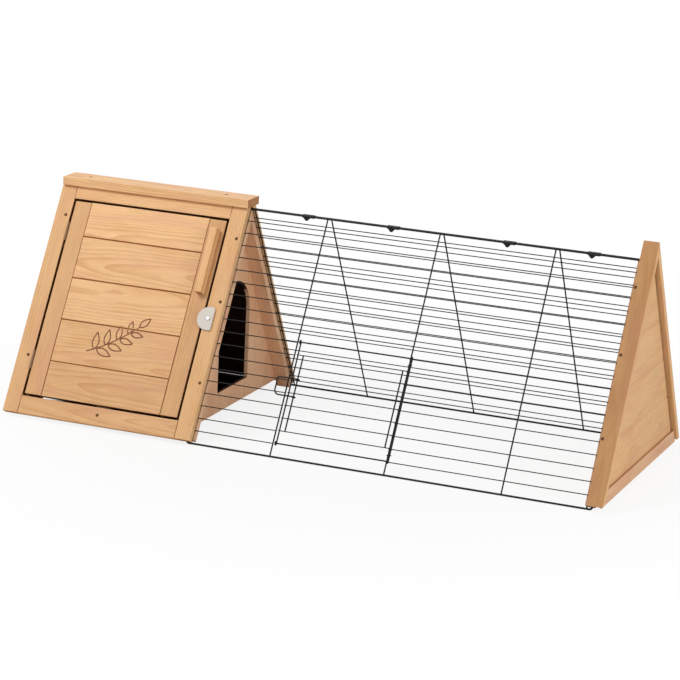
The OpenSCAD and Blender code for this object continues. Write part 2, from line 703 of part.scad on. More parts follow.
front_left_stile();
front_right_stile();
front_bottom_rail();
front_top_rail();
rear_left_stile();
rear_right_stile();
rear_bottom_rail();
rear_top_rail();
rear_planks();
left_wall_planks();
left_wall_rail();
left_wall_cleats();
partition();
mesh_cleat_front();
mesh_cleat_rear();
ridge_batten();
ridge_cap();
door_stop();
end_post_front();
end_post_rear();
end_planks();
end_rail();
end_cleats();
front_mesh_border();
front_mesh_uprights();
front_mesh_bars();
rear_mesh_border();
rear_mesh_uprights();
rear_mesh_bars();
ridge_clips();
frame_screws();
cap_screws();
hinge_frame_leaves();
hinge_pins();
hinge_frame_screws();
button_screw();
door_left_stile();
door_right_stile();
door_plank_1();
door_plank_2();
door_plank_3();
door_plank_4();
door_plank_5();
door_handle();
handle_screws();
hinge_door_leaves();
hinge_door_screws();
turn_button();
wire_hinge_rings();
wire_door_frame();
wire_door_eyes();
wire_door_stiffeners();
wire_door_bars();
wire_latch();
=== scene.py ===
"""Rabbit house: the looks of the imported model.

A ridge-shaped hutch of sawn fir boards with a run of black welded wire.
Metres, +Z up, +X along the ridge, front towards -Y.
"""
import math
import random

import bmesh
import bpy
import numpy as np
from mathutils import Matrix, Vector
from mathutils.bvhtree import BVHTree


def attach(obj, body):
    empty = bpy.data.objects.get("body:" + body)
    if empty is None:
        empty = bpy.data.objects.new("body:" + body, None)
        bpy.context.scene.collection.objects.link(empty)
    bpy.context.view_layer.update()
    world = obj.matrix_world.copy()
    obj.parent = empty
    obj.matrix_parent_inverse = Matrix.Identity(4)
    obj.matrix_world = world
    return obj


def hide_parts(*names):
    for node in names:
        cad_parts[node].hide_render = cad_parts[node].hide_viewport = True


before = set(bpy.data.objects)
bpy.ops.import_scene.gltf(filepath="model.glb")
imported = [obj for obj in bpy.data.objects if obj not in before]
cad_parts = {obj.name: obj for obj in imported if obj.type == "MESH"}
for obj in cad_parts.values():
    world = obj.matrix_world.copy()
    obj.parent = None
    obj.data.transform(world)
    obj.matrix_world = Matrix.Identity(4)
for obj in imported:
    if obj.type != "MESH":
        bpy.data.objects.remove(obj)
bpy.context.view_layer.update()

scene = bpy.context.scene
MM = 0.001

# Camera
FRAME_PX = 680
FOCAL_PX = 2783.8
SENSOR_MM = 36.0
CAMERA_AT = (2.0155, -5.0850, 1.6187)
AZIMUTH = math.radians(21.738)
ELEVATION = math.radians(14.647)
ROLL = math.radians(2.657)
CLIP_END = 50.0


def camera_axes(azimuth, elevation, roll):
    """The camera's right, up and backward axes.

    The backward axis comes from the two angles, and the others are turned about it by the roll.
    """
    back = np.array([math.sin(azimuth) * math.cos(elevation),
                     -math.cos(azimuth) * math.cos(elevation),
                     math.sin(elevation)])
    level = np.array([math.cos(azimuth), math.sin(azimuth), 0.0])
    rise = np.cross(back, level)
    right = level * math.cos(roll) + rise * math.sin(roll)
    up = rise * math.cos(roll) - level * math.sin(roll)
    return right, up, back


camera_data = bpy.data.cameras.new("camera")
camera_data.sensor_width = SENSOR_MM
camera_data.lens = SENSOR_MM * FOCAL_PX / FRAME_PX
camera_data.clip_end = CLIP_END
camera = bpy.data.objects.new("camera", camera_data)
scene.collection.objects.link(camera)
matrix = np.eye(4)
for column, axis in enumerate(camera_axes(AZIMUTH, ELEVATION, ROLL)):
    matrix[:3, column] = axis
matrix[:3, 3] = CAMERA_AT
camera.matrix_world = Matrix(matrix.tolist())
scene.camera = camera
scene.view_settings.view_transform = "Standard"

# Places on the front slope, as in the part's source
SLOPE = math.radians(60)
FOOT_Y = 252.5
FLOOR_WIRE_Z = 2.0
OUTER_FACE = 17.6
UP_FRONT = np.array([0.0, math.cos(SLOPE), math.sin(SLOPE)])
OUT_FRONT = np.array([0.0, -math.sin(SLOPE), math.cos(SLOPE)])
UP_REAR = UP_FRONT * [1, -1, 1]
OUT_REAR = OUT_FRONT * [1, -1, 1]
ALONG_X, ALONG_Y, ALONG_Z = np.eye(3)


def on_front(x, v, d):
    """Points on the front slope in metres.

    They are the foot line plus x along the ridge, v up the slope and d out of it, in millimetres.
    """
    x, v, d = np.broadcast_arrays(np.asarray(x, float), v, d)
    foot = np.array([0.0, -FOOT_Y, FLOOR_WIRE_Z])
    return MM * (foot + x[..., None] * ALONG_X + v[..., None] * UP_FRONT + d[..., None] * OUT_FRONT)


def link_mesh(name, mesh, material):
    """A new object of the mesh in one material, linked to the scene."""
    mesh.materials.append(material)
    piece = bpy.data.objects.new(name, mesh)
    scene.collection.objects.link(piece)
    return piece


# Materials
def srgb(code):
    """Linear RGBA from an sRGB hex code, by the sRGB curve."""
    channel = [int(code[i:i + 2], 16) / 255 for i in (1, 3, 5)]
    return tuple(c / 12.92 if c <= 0.04045 else ((c + 0.055) / 1.055) ** 2.4 for c in channel) + (1.0,)


def add(tree, kind, inputs=None, **settings):
    """Adds a node of this kind to the tree, sets its settings, and links or sets its inputs."""
    node = tree.nodes.new("ShaderNode" + kind)
    for name, value in settings.items():
        setattr(node, name, value)
    for name, value in (inputs or {}).items():
        if isinstance(value, bpy.types.NodeSocket):
            tree.links.new(value, node.inputs[name])
        else:
            node.inputs[name].default_value = value
    return node


def new_material(name):
    """An empty material with its Principled shader already linked to the output."""
    material = bpy.data.materials.new(name)
    material.use_nodes = True
    tree = material.node_tree
    tree.nodes.clear()
    shader = add(tree, "BsdfPrincipled")
    add(tree, "OutputMaterial", {"Surface": shader.outputs["BSDF"]})
    return material, tree, shader


# Fir, in millimetres on the board. The ramp gives the late wood's share across one ring.
RING_WIDTH = 4.6
RING_RAMP = [(0.0, 0.0), (0.45, 0.12), (0.82, 0.75), (0.93, 1.0), (1.0, 0.0)]
RING_SWAY = 13.0
RING_UNEVEN, UNEVEN_LENGTH = 2.4, 17.0
# Each noise: its length along the grain and across it, a shift of its pattern, detail, roughness
FIR_NOISES = {
    "sway": (230, 70, (0, 0, 0), 2.0, 0.55),
    "fibre": (45, 1.5, (0, 0, 0), 2.0, 0.6),
    "cloud": (120, 34, (0, 0, 0), 2.5, 0.5),
    "patch": (170, 30, (7.3, 1.9, 4.1), 1.5, 0.5),
}
# Each share of a colour: the noise that it follows, the range of the noise, and its own range
FIR_SHARES = {
    "late": ("cloud", 0.3, 0.7, 0.34, 0.85),
    "warm": ("cloud", 0.52, 0.78, 0.0, 0.5),
    "rosy": ("patch", 0.5, 0.74, 0.0, 0.75),
    "streak": ("fibre", 0.3, 0.7, 0.90, 1.06),
}
END_GRAIN = "#CDB69E"
# Painted shade: the tint of a face by how deep a shade is painted on it
PAINTED_SHADE_RAMP = [(0.0, "#FFFFFF"), (0.5, "#B08C68"), (1.0, "#4A3626")]
RING_RELIEF, RELIEF_STRENGTH, RELIEF_MM = 0.6, 0.35, 0.12
EARLY_ROUGH, LATE_ROUGH = 0.66, 0.56
WOOD_IOR = 1.45


def sawn_fir(name, early, late, warm, rosy, shade):
    """Planed fir: pale early wood and browner late wood in growth rings, faint fibres, a matt surface.

    A point's ring is its distance from the pith, swayed by noise, over the ring width. The eye sees
    straight lines on a quarter-sawn board and long arches on a flat-sawn one, in warmer and rosier clouds.
    """
    material, tree, shader = new_material(name)
    place = add(tree, "Attribute", attribute_name="board_place").outputs["Vector"]
    tone, end, painted_shade_level, figure = (add(tree, "Attribute", attribute_name=attribute).outputs["Fac"]
                                for attribute in ("board_tone", "end_grain", "board_depth", "board_figure"))
    noise = {}
    for key, (along, across, offset, detail, roughness) in FIR_NOISES.items():
        at = add(tree, "VectorMath", {0: place, 1: (1 / along, 1 / across, 1 / across), 2: offset},
                 operation="MULTIPLY_ADD")
        noise[key] = add(tree, "TexNoise", {"Vector": at.outputs[0], "Scale": 1.0, "Detail": detail,
                                            "Roughness": roughness})
    share = {}
    for key, (source, low, high, to_low, to_high) in FIR_SHARES.items():
        share[key] = add(tree, "MapRange", {"Value": noise[source].outputs["Fac"], "From Min": low, "From Max": high,
                                            "To Min": to_low, "To Max": to_high}).outputs["Result"]

    shift = add(tree, "VectorMath", {0: noise["sway"].outputs["Color"], 1: (0, RING_SWAY, RING_SWAY),
                                     2: (0, -RING_SWAY / 2, -RING_SWAY / 2)}, operation="MULTIPLY_ADD")
    swayed = add(tree, "VectorMath", {0: place, 1: shift.outputs[0]}, operation="ADD")
    crosswise = add(tree, "VectorMath", {0: swayed.outputs[0], 1: (0, 1, 1)}, operation="MULTIPLY")
    radius = add(tree, "VectorMath", {0: crosswise.outputs[0]}, operation="LENGTH").outputs["Value"]
    uneven = add(tree, "TexNoise", {"W": radius, "Scale": 1 / UNEVEN_LENGTH, "Detail": 1.0}, noise_dimensions="1D")
    stretch = add(tree, "Math", {0: uneven.outputs["Fac"], 1: RING_UNEVEN * RING_WIDTH, 2: radius},
                  operation="MULTIPLY_ADD")
    count = add(tree, "Math", {0: stretch.outputs[0], 1: RING_WIDTH}, operation="DIVIDE")
    phase = add(tree, "Math", {0: count.outputs[0]}, operation="FRACT")
    ring = add(tree, "ValToRGB", {"Fac": phase.outputs[0]})
    ring.color_ramp.interpolation = "EASE"
    # Painted shade: each face's tint from how deep a shade is painted on it
    painted_shade_tint = add(tree, "ValToRGB", {"Fac": painted_shade_level})
    for ramp, stops in ((ring.color_ramp, [(position, (value, value, value, 1)) for position, value in RING_RAMP]),
                        (painted_shade_tint.color_ramp, [(position, srgb(code)) for position, code in PAINTED_SHADE_RAMP])):
        for i, (position, colour) in enumerate(stops):
            stop = ramp.elements[i] if i < 2 else ramp.elements.new(position)
            stop.position, stop.color = position, colour

    ring_mix = add(tree, "Math", {0: ring.outputs["Color"], 1: share["late"]}, operation="MULTIPLY")
    ring_mix = add(tree, "Math", {0: ring_mix.outputs[0], 1: figure}, operation="MULTIPLY")
    colour = srgb(early)
    for factor, other in ((ring_mix.outputs[0], late), (share["warm"], warm), (share["rosy"], rosy)):
        colour = add(tree, "Mix", {"Factor": factor, "A": colour, "B": srgb(other)},
                     data_type="RGBA").outputs["Result"]
    colour = add(tree, "VectorMath", {0: colour, "Scale": share["streak"]}, operation="SCALE").outputs[0]
    # The last tint multiplied in is the painted shade
    for factor, tint in ((tone, srgb(shade)), (end, srgb(END_GRAIN)), (1.0, painted_shade_tint.outputs["Color"])):
        colour = add(tree, "Mix", {"Factor": factor, "A": colour, "B": tint},
                     data_type="RGBA", blend_type="MULTIPLY").outputs["Result"]
    tree.links.new(colour, shader.inputs["Base Color"])

    relief = add(tree, "Math", {0: ring.outputs["Color"], 1: RING_RELIEF, 2: noise["fibre"].outputs["Fac"]},
                 operation="MULTIPLY_ADD")
    bump = add(tree, "Bump", {"Height": relief.outputs[0], "Strength": RELIEF_STRENGTH, "Distance": RELIEF_MM * MM})
    tree.links.new(bump.outputs["Normal"], shader.inputs["Normal"])
    rough = add(tree, "MapRange", {"Value": ring.outputs["Color"], "To Min": EARLY_ROUGH, "To Max": LATE_ROUGH})
    tree.links.new(rough.outputs["Result"], shader.inputs["Roughness"])
    shader.inputs["IOR"].default_value = WOOD_IOR
    return material


SPECKLE_RELIEF_MM, SPECKLE_BUMP = 0.02, 0.5
ROUGH_SPREAD = 0.07


def speckled(name, colour, other, grain_mm, roughness, metallic=0.0, specular=0.5):
    """A finish of one colour that wanders a little towards another, with a fine relief.

    Both follow noise of the given grain.
    """
    material, tree, shader = new_material(name)
    where = add(tree, "TexCoord").outputs["Object"]
    noise = add(tree, "TexNoise", {"Vector": where, "Scale": 1 / (grain_mm * MM), "Detail": 3.0}).outputs["Fac"]
    mixed = add(tree, "Mix", {"Factor": noise, "A": srgb(colour), "B": srgb(other)}, data_type="RGBA")
    tree.links.new(mixed.outputs["Result"], shader.inputs["Base Color"])
    bump = add(tree, "Bump", {"Height": noise, "Strength": SPECKLE_BUMP, "Distance": SPECKLE_RELIEF_MM * MM})
    tree.links.new(bump.outputs["Normal"], shader.inputs["Normal"])
    rough = add(tree, "MapRange", {"Value": noise, "To Min": roughness - ROUGH_SPREAD,
                                   "To Max": roughness + ROUGH_SPREAD})
    tree.links.new(rough.outputs["Result"], shader.inputs["Roughness"])
    shader.inputs["Metallic"].default_value = metallic
    shader.inputs["Specular IOR Level"].default_value = specular
    return material


# Planed and oiled fir of the outer boards
FIR = sawn_fir("planed_fir", "#EABC88", "#C48A4E", "#D8A062", "#DDA67E", "#C9B9A5")
# The same fir inside, left unoiled, paler and greyer
INNER_FIR = sawn_fir("unoiled_fir", "#EABD96", "#BE8C64", "#D6A074", "#DEA888", "#C9B5A2")
# Black powder coat on steel wire, dull, with a faint orange peel
WIRE = speckled("powder_coated_wire", "#0B0B0C", "#141415", 1.5, 0.60, specular=0.25)
# Moulded polypropylene of the ridge clips, matt
CLIP = speckled("moulded_polypropylene", "#0D0D0E", "#17181A", 2.0, 0.62, specular=0.3)
# Moulded ABS of the turn button, pale warm grey, satin
BUTTON = speckled("moulded_abs", "#CFC6BC", "#BDB3A8", 1.6, 0.45)
# Bronzed wood screws, dark, with a dull shine
SCREW = speckled("bronzed_screw_steel", "#80583A", "#573823", 1.0, 0.7, specular=0.25)
# Zinc plate of the button's screw, bright grey
ZINC = speckled("zinc_plated_steel", "#B9BCBE", "#8D9093", 2.0, 0.34, metallic=0.9)
# Yellow-passivated steel of the butt hinges, brown-grey and dull
HINGE = speckled("passivated_hinge_steel", "#8A6A4C", "#6A5040", 2.0, 0.65, metallic=0.5)
# Burnt line in the door's planks, brown and dull
BURNT = speckled("burnt_line", "#65381A", "#7E4C28", 2.5, 0.75)

# Timber pieces: node, grain and outward axes, cut, tone
F_UP, R_UP = (UP_FRONT, OUT_FRONT), (UP_REAR, OUT_REAR)
F_X, R_X = (ALONG_X, OUT_FRONT), (ALONG_X, OUT_REAR)
END = (ALONG_Y, ALONG_X)
# On the front the tones deepen towards the foot, on the bottom rail and lower door planks: partly the boards' own
# colour, partly painted shade
TIMBER = [
    ("front_left_stile", F_UP, "quarter", 0.3), ("front_right_stile", F_UP, "quarter", 0.25),
    ("front_bottom_rail", F_X, "flat", 0.4), ("front_top_rail", F_X, "quarter", 0.1),
    ("rear_left_stile", R_UP, "quarter", 0.2), ("rear_right_stile", R_UP, "quarter", 0.2),
    ("rear_bottom_rail", R_X, "flat", 0.3), ("rear_top_rail", R_X, "quarter", 0.15),
    ("rear_planks", R_X, "flat", 0.15), ("left_wall_planks", END, "flat", 0.2),
    ("left_wall_rail", END, "quarter", 0.2), ("left_wall_cleats", F_UP, "quarter", 0.3),
    ("partition", (ALONG_Z, ALONG_X), "flat", 0.08), ("mesh_cleat_front", F_UP, "quarter", 0.1),
    ("mesh_cleat_rear", R_UP, "quarter", 0.08), ("ridge_batten", (ALONG_X, ALONG_Z), "quarter", 0.3),
    ("ridge_cap", (ALONG_X, ALONG_Z), "flat", 0.15), ("door_stop", F_UP, "quarter", 0.3),
    ("end_post_front", F_UP, "flat", 0.9), ("end_post_rear", R_UP, "flat", 0.5),
    ("end_planks", END, "flat", 0.1), ("end_rail", END, "quarter", 0.0),
    ("end_cleats", F_UP, "quarter", 0.4),
    ("door_left_stile", F_UP, "quarter", 0.35), ("door_right_stile", F_UP, "quarter", 0.55),
    ("door_plank_1", F_X, "flat", 0.42), ("door_plank_2", F_X, "flat", 0.25),
    ("door_plank_3", F_X, "flat", 0.1), ("door_plank_4", F_X, "flat", 0.12),
    ("door_plank_5", F_X, "flat", 0.05), ("door_handle", F_UP, "quarter", 0.0),
]
# Pieces of unoiled fir
INNER = {"left_wall_cleats", "partition", "mesh_cleat_front", "mesh_cleat_rear", "ridge_batten", "door_stop",
         "end_cleats"}
# Rails of the two end walls, which look paler, with painted shadow on the ledge along their top
WALL_RAILS = {"end_rail", "left_wall_rail"}
# Posts whose sides are paler than their broad faces: partly the paler planed side, partly painted light on the sides
# and painted shade on the faces
PALE_AND_LIT_SIDES = {"end_post_front", "end_post_rear"}
PALE_AND_LIT_SIDE_TONE = 0.1
# How strongly the rings show where they are fainter than full
FAINT_FIGURE = {"end_planks": 0.35, "left_wall_planks": 0.35, "end_post_front": 0.5, "end_post_rear": 0.5,
                "end_rail": 0.6}

# Shaping of the boards, in millimetres
ARRIS = 0.8
WIDE_ARRIS = {"door_left_stile": 1.5, "door_right_stile": 1.5}
LONG_EDGE = 6.0
LENGTH_MM = 40.0
WELD = 1e-6
FLAT_DEG, SHARP_DEG = 1.0, 35.0


def board_islands(bm):
    """The boards in a mesh, each a list of its vertices: those that edges join."""
    left, islands = set(bm.verts), []
    while left:
        front = [left.pop()]
        island = list(front)
        while front:
            vert = front.pop()
            for edge in vert.link_edges:
                other = edge.other_vert(vert)
                if other in left:
                    left.remove(other)
                    front.append(other)
                    island.append(other)
        islands.append(sorted(island, key=lambda v: v.index))
    return sorted(islands, key=lambda i: i[0].index)


def board_of_vertex(node, islands):
    """For each vertex index, the node and the number of the board that it belongs to."""
    return {v.index: (node, number) for number, island in enumerate(islands) for v in island}


def shaped_boards(node, grain):
    """The node's boards with their long arrises rounded.

    They are cut across the grain into short lengths, so that each length takes its own painted shade.
    """
    bm = bmesh.new()
    bm.from_mesh(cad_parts[node].data)
    bmesh.ops.remove_doubles(bm, verts=bm.verts, dist=WELD)
    bmesh.ops.dissolve_limit(bm, angle_limit=math.radians(FLAT_DEG), verts=bm.verts, edges=bm.edges)
    sharp = [e for e in bm.edges if e.is_manifold and e.is_convex
             and e.calc_face_angle() > math.radians(SHARP_DEG) and e.calc_length() > LONG_EDGE * MM]
    bmesh.ops.bevel(bm, geom=sharp, offset=WIDE_ARRIS.get(node, ARRIS) * MM, offset_type="OFFSET", segments=2,
                    profile=0.5, affect="EDGES", clamp_overlap=True)
    reach = [v.co.dot(Vector(grain)) for v in bm.verts]
    for place in np.arange(min(reach) + LENGTH_MM * MM, max(reach), LENGTH_MM * MM):
        bmesh.ops.bisect_plane(bm, geom=bm.verts[:] + bm.edges[:] + bm.faces[:], dist=WELD,
                               plane_co=Vector(grain) * place, plane_no=Vector(grain))
    bmesh.ops.recalc_face_normals(bm, faces=bm.faces)
    bm.verts.index_update()
    bm.faces.index_update()
    return bm, board_islands(bm)


SHAPED = {node: shaped_boards(node, axes[0]) for node, axes, cut, tone in TIMBER}
surface_points, surface_faces, surface_board = [], [], []
for node, (bm, islands) in SHAPED.items():
    board_of = board_of_vertex(node, islands)
    base = len(surface_points)
    surface_points += [v.co.copy() for v in bm.verts]
    for face in bm.faces:
        surface_faces.append([base + v.index for v in face.verts])
        surface_board.append(board_of[face.verts[0].index])
SURFACES = BVHTree.FromPolygons(surface_points, surface_faces)

# Painted shade: where a face lies in the dark, and how deep a shade is painted on it. The closed hutch's inside is
# painted dark.
SHADE_IN_HUTCH, SHADE_IN_GAP, SHADE_IN_JOINT, SHADE_ON_LEDGE = 1.0, 0.8, 0.5, 0.3
HUTCH = {"rear_bottom_rail", "rear_top_rail", "rear_planks", "left_wall_planks", "left_wall_cleats", "partition",
         "ridge_batten"}
# A face of these pieces gets the hutch's painted shade where it is near the hutch's middle and looks at it
HUTCH_MIDDLE, HUTCH_HALF = (-440.0, 0.0, 170.0), 190.0
INWARD_FACING = 0.45
# How much a ledge looks up, and how much a board's edge and its broad face look out, with the arris between them
LEDGE_UP, EDGE_LEAN, FACE_LEAN = 0.8, 0.3, 0.95
CLOSE_JOINTED = {"end_planks", "left_wall_planks"}
RAY_START = 1e-5
GAP_LEAST, GAP_REACH = 1.0, 8.0
JOINT_REACH = 1.5


def board_depth(face, board, out):
    """How deep a shade is painted on a face, by how far it lies in the dark.

    Most inside the hutch, less in the gap round the door, in a joint between boards and on a rail's ledge.
    """
    node = board[0]
    middle, normal = face.calc_center_median(), face.normal
    inward = Vector(HUTCH_MIDDLE) * MM - middle
    # Painted shade inside the closed hutch
    if node in HUTCH and abs(inward.x) < HUTCH_HALF * MM and normal.dot(inward.normalized()) > INWARD_FACING:
        return SHADE_IN_HUTCH
    # Painted shadow on the top ledge of an end wall's rail
    if node in WALL_RAILS and normal.z > LEDGE_UP:
        return SHADE_ON_LEDGE
    lean = abs(normal.dot(Vector(out)))
    # Painted shade on a board's edge that looks across the gap round the door
    if lean < EDGE_LEAN and node.startswith(("door_", "front_")):
        place, _, index, distance = SURFACES.ray_cast(middle + normal * RAY_START, normal, GAP_REACH * MM)
        if place is not None and surface_board[index] != board and distance > GAP_LEAST * MM:
            return SHADE_IN_GAP
    # Painted shade on an arris in a joint between boards
    if EDGE_LEAN < lean < FACE_LEAN and node not in CLOSE_JOINTED:
        near = SURFACES.find_nearest_range(middle, JOINT_REACH * MM)
        if any(surface_board[index] != board for _, _, index, _ in near):
            return SHADE_IN_JOINT
    return 0.0


# Where each board lay in its tree: ranges in millimetres, the flat-sawn pith's side as a share of the width
FLAT_SIDE, FLAT_DEPTH, FLAT_TILT = 0.45, (26, 60), (0.015, 0.05)
QUARTER_SIDE, QUARTER_DEPTH, QUARTER_TILT = (45, 80), (0, 14), 0.012
GRAIN_START = (500, 5000)
TONE_SPREAD = 0.08
# How much a face looks along the grain where its end grain starts, and how much more until it is full
END_FACING, END_FACING_RANGE = 0.6, 0.3
# How much a post's broad face looks out
BROAD_FACING = 0.8


def lay_grain(node, points, islands, axes, cut, tone):
    """Each vertex's place from its tree's pith, and its board's tone.

    The place is (along the grain, across, into the board) in millimetres. A flat-sawn board has the pith
    behind it and a quarter-sawn one beside it, and the pith tilts a little along the board.
    """
    grain, out = axes
    along, across, deep = points @ grain, points @ np.cross(out, grain), points @ out
    tones = np.zeros(len(points))
    for number, island in enumerate(islands):
        dice = random.Random(node + str(number))
        index = [v.index for v in island]
        width = np.ptp(across[index])
        middle, top = (across[index].max() + across[index].min()) / 2, deep[index].max()
        if cut == "flat":
            pith_side = dice.uniform(-FLAT_SIDE, FLAT_SIDE) * width
            pith_depth = dice.uniform(*FLAT_DEPTH)
            tilt = dice.uniform(*FLAT_TILT)
        else:
            pith_side = dice.choice([-1, 1]) * (width / 2 + dice.uniform(*QUARTER_SIDE))
            pith_depth = dice.uniform(*QUARTER_DEPTH)
            tilt = QUARTER_TILT
        tilt *= dice.choice([-1, 1])
        start = along[index].mean()
        across[index] -= middle + pith_side
        deep[index] += pith_depth - top + tilt * (along[index] - start)
        along[index] += dice.uniform(*GRAIN_START) - start
        tones[index] = min(1.0, max(0.0, tone + dice.uniform(-TONE_SPREAD, TONE_SPREAD)))
    return np.stack([along, across, deep], 1), tones


def dress_boards(node, axes, cut, tone):
    """The node's boards with their grain laid out, in place of the CAD node.

    Their attributes: board_place as lay_grain gives it, board_tone how deep the colour is (with painted light
    on the posts' sides), end_grain how much a face looks along the grain, board_depth how deep a painted shade
    it carries where it lies in the dark, board_figure how strongly the rings show.
    """
    bm, islands = SHAPED[node]
    grain, out = axes
    mesh = bpy.data.meshes.new(node + "_board")
    bm.to_mesh(mesh)
    points = np.empty(3 * len(mesh.vertices))
    mesh.vertices.foreach_get("co", points)
    places, tones = lay_grain(node, points.reshape(-1, 3) / MM, islands, axes, cut, tone)
    normals = np.empty(3 * len(mesh.polygons))
    mesh.polygons.foreach_get("normal", normals)
    normals = normals.reshape(-1, 3)

    board_of = board_of_vertex(node, islands)
    # Each face's painted shade
    painted_shades = [board_depth(face, board_of[face.verts[0].index], out) for face in bm.faces]
    facing = np.clip((np.abs(normals @ grain) - END_FACING) / END_FACING_RANGE, 0, 1)
    face_tones = np.array([tones[face.verts[0].index] for face in bm.faces])
    # A post's sides take a paler tone: partly the planed side, partly painted light
    if node in PALE_AND_LIT_SIDES:
        face_tones *= np.where(np.abs(normals @ out) > BROAD_FACING, 1.0, PALE_AND_LIT_SIDE_TONE)
    bm.free()
    mesh.attributes.new("board_place", "FLOAT_VECTOR", "POINT").data.foreach_set("vector", places.ravel())
    figures = np.full(len(tones), FAINT_FIGURE.get(node, 1.0))
    for name, domain, values in (("board_figure", "POINT", figures), ("board_tone", "FACE", face_tones),
                                 ("end_grain", "FACE", facing), ("board_depth", "FACE", painted_shades)):
        mesh.attributes.new(name, "FLOAT", domain).data.foreach_set("value", values)

    piece = link_mesh(node + "_board", mesh, INNER_FIR if node in INNER | WALL_RAILS else FIR)
    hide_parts(node)
    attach(piece, "hutch_door" if node.startswith("door_") and node != "door_stop" else "frame")


for row in TIMBER:
    dress_boards(*row)

# The front panel's two outer uprights lie behind the timber: where each is along the ridge, and its shift
OUTER_UPRIGHTS = [(-218.5, -2.7), (603.5, 1.5)]
UPRIGHT_REACH = 5.0


def tuck_uprights(node):
    """A copy of the uprights in which each outer one is moved along the ridge, in place of the CAD node."""
    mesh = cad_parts[node].data.copy()
    points = np.empty(3 * len(mesh.vertices))
    mesh.vertices.foreach_get("co", points)
    points = points.reshape(-1, 3)
    for place, shift in OUTER_UPRIGHTS:
        points[np.abs(points[:, 0] - place * MM) < UPRIGHT_REACH * MM, 0] += shift * MM
    mesh.vertices.foreach_set("co", points.ravel())
    mesh.materials.clear()
    piece = link_mesh(node + "_tucked", mesh, WIRE)
    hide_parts(node)
    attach(piece, "frame")


tuck_uprights("front_mesh_uprights")

# Steel and plastic nodes keep their CAD shape and get the finish of the first key that their name holds
FINISHES = {
    "wire_": WIRE, "mesh_": WIRE, "clips": CLIP, "hinge": HINGE, "button_screw": ZINC,
    "screws": SCREW, "turn_button": BUTTON,
}
timber_nodes = {row[0] for row in TIMBER}
for name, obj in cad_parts.items():
    finish = next((material for key, material in FINISHES.items() if key in name), None)
    if finish and name not in timber_nodes:
        for material_slot in obj.material_slots:
            material_slot.material = finish

# Burnt sprig on the door's planks, in millimetres
SPRIG_AT = (-432.0, 184.0)
STEM_START, STEM_RUN, STEM_BEND = (-58, -34), (104, 40), 26
STEM_POINTS, LEAF_POINTS, LINE_POINTS = 60, 26, 5
LEAVES_AT = (0.16, 0.38, 0.60, 0.80)
LEAF_SIZE, LEAF_SHRINK, LEAF_FULLNESS = (38, 15), 0.35, 0.8
# Each leaf of a pair: its stalk's shift, its angle in degrees at the stem's foot, and the turn towards the tip
LEAF_PAIR = [((0, 0), 92, -10), ((6, 1), -22, 20)]
TIP_ANGLE, TIP_SIZE = 46, (28, 13)
SEAM_V = 209.0
SEAM_HALF = 1.9
LINE_W = 3.2
LINE_OUT, LINE_SINK = 0.14, 0.1
LEAST_STEP = 1e-9


def leaf_outline(start, angle, length, width):
    """A closed leaf, from its stalk to its tip and back.

    It is as wide as a sine of the way along, fuller towards the stalk.
    """
    t = np.linspace(0, 1, LEAF_POINTS)
    reach = np.concatenate([t, t[::-1]])
    half = width / 2 * np.sin(math.pi * t ** LEAF_FULLNESS)
    half = np.concatenate([half, -half[::-1]])
    a = math.radians(angle)
    return np.stack([start[0] + length * reach * math.cos(a) - half * math.sin(a),
                     start[1] + length * reach * math.sin(a) + half * math.cos(a)], 1)


def sprig_paths():
    """The sprig's lines in x and v: a bent stem, leaves in pairs along it and one at its tip.

    The stem runs straight from its start, and bends up by the square of the way along. Its leaves shrink
    towards the tip.
    """
    t = np.linspace(0, 1, STEM_POINTS)
    stem = np.stack([STEM_START[0] + STEM_RUN[0] * t, STEM_START[1] + STEM_RUN[1] * t + STEM_BEND * t * t], 1)
    paths = [stem]
    for at in LEAVES_AT:
        start = stem[int(at * (STEM_POINTS - 1))]
        length, width = (size * (1.0 - LEAF_SHRINK * at) for size in LEAF_SIZE)
        for shift, angle, turn in LEAF_PAIR:
            paths.append(leaf_outline(start + shift, angle + turn * at, length, width))
    paths.append(leaf_outline(stem[-1], TIP_ANGLE, *TIP_SIZE))
    return [p + SPRIG_AT for p in paths]


def clear_of_seam(path):
    """The stretches of a path that stay off the seam between two planks."""
    keep = np.abs(path[:, 1] - SEAM_V) > SEAM_HALF
    cuts = np.flatnonzero(np.diff(keep.astype(int))) + 1
    return [part for part, inside in zip(np.split(path, cuts), np.split(keep, cuts)) if inside[0] and len(part) > 2]


def burnt_line(path):
    """A line in the wood: a flat half-ellipse carried along the path, across it and out of the board."""
    step = np.gradient(path, axis=0)
    step /= np.maximum(np.linalg.norm(step, axis=1, keepdims=True), LEAST_STEP)
    sideways = np.stack([-step[:, 1], step[:, 0]], 1)
    angle = np.linspace(0, math.pi, LINE_POINTS)
    offset = LINE_W / 2 * np.cos(angle)
    height = OUTER_FACE - LINE_SINK + (LINE_OUT + LINE_SINK) * np.sin(angle)
    x = path[:, None, 0] + sideways[:, None, 0] * offset
    v = path[:, None, 1] + sideways[:, None, 1] * offset
    return on_front(x, v, np.broadcast_to(height, x.shape))


def strips_mesh(name, strips):
    """One mesh from grids of points, each a strip of quads."""
    points, faces, base = [], [], 0
    for grid in strips:
        rows, columns = grid.shape[:2]
        index = base + np.arange(rows * columns).reshape(rows, columns)
        quads = np.stack([index[:-1, :-1], index[:-1, 1:], index[1:, 1:], index[1:, :-1]], -1).reshape(-1, 4)
        points.append(grid.reshape(-1, 3))
        faces.append(quads)
        base += rows * columns
    mesh = bpy.data.meshes.new(name)
    mesh.from_pydata(np.concatenate(points).tolist(), [], np.concatenate(faces).tolist())
    mesh.update()
    return mesh


strips = [burnt_line(part) for path in sprig_paths() for part in clear_of_seam(path)]
sprig = link_mesh("burnt_sprig", strips_mesh("burnt_sprig", strips), BURNT)
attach(sprig, "hutch_door")
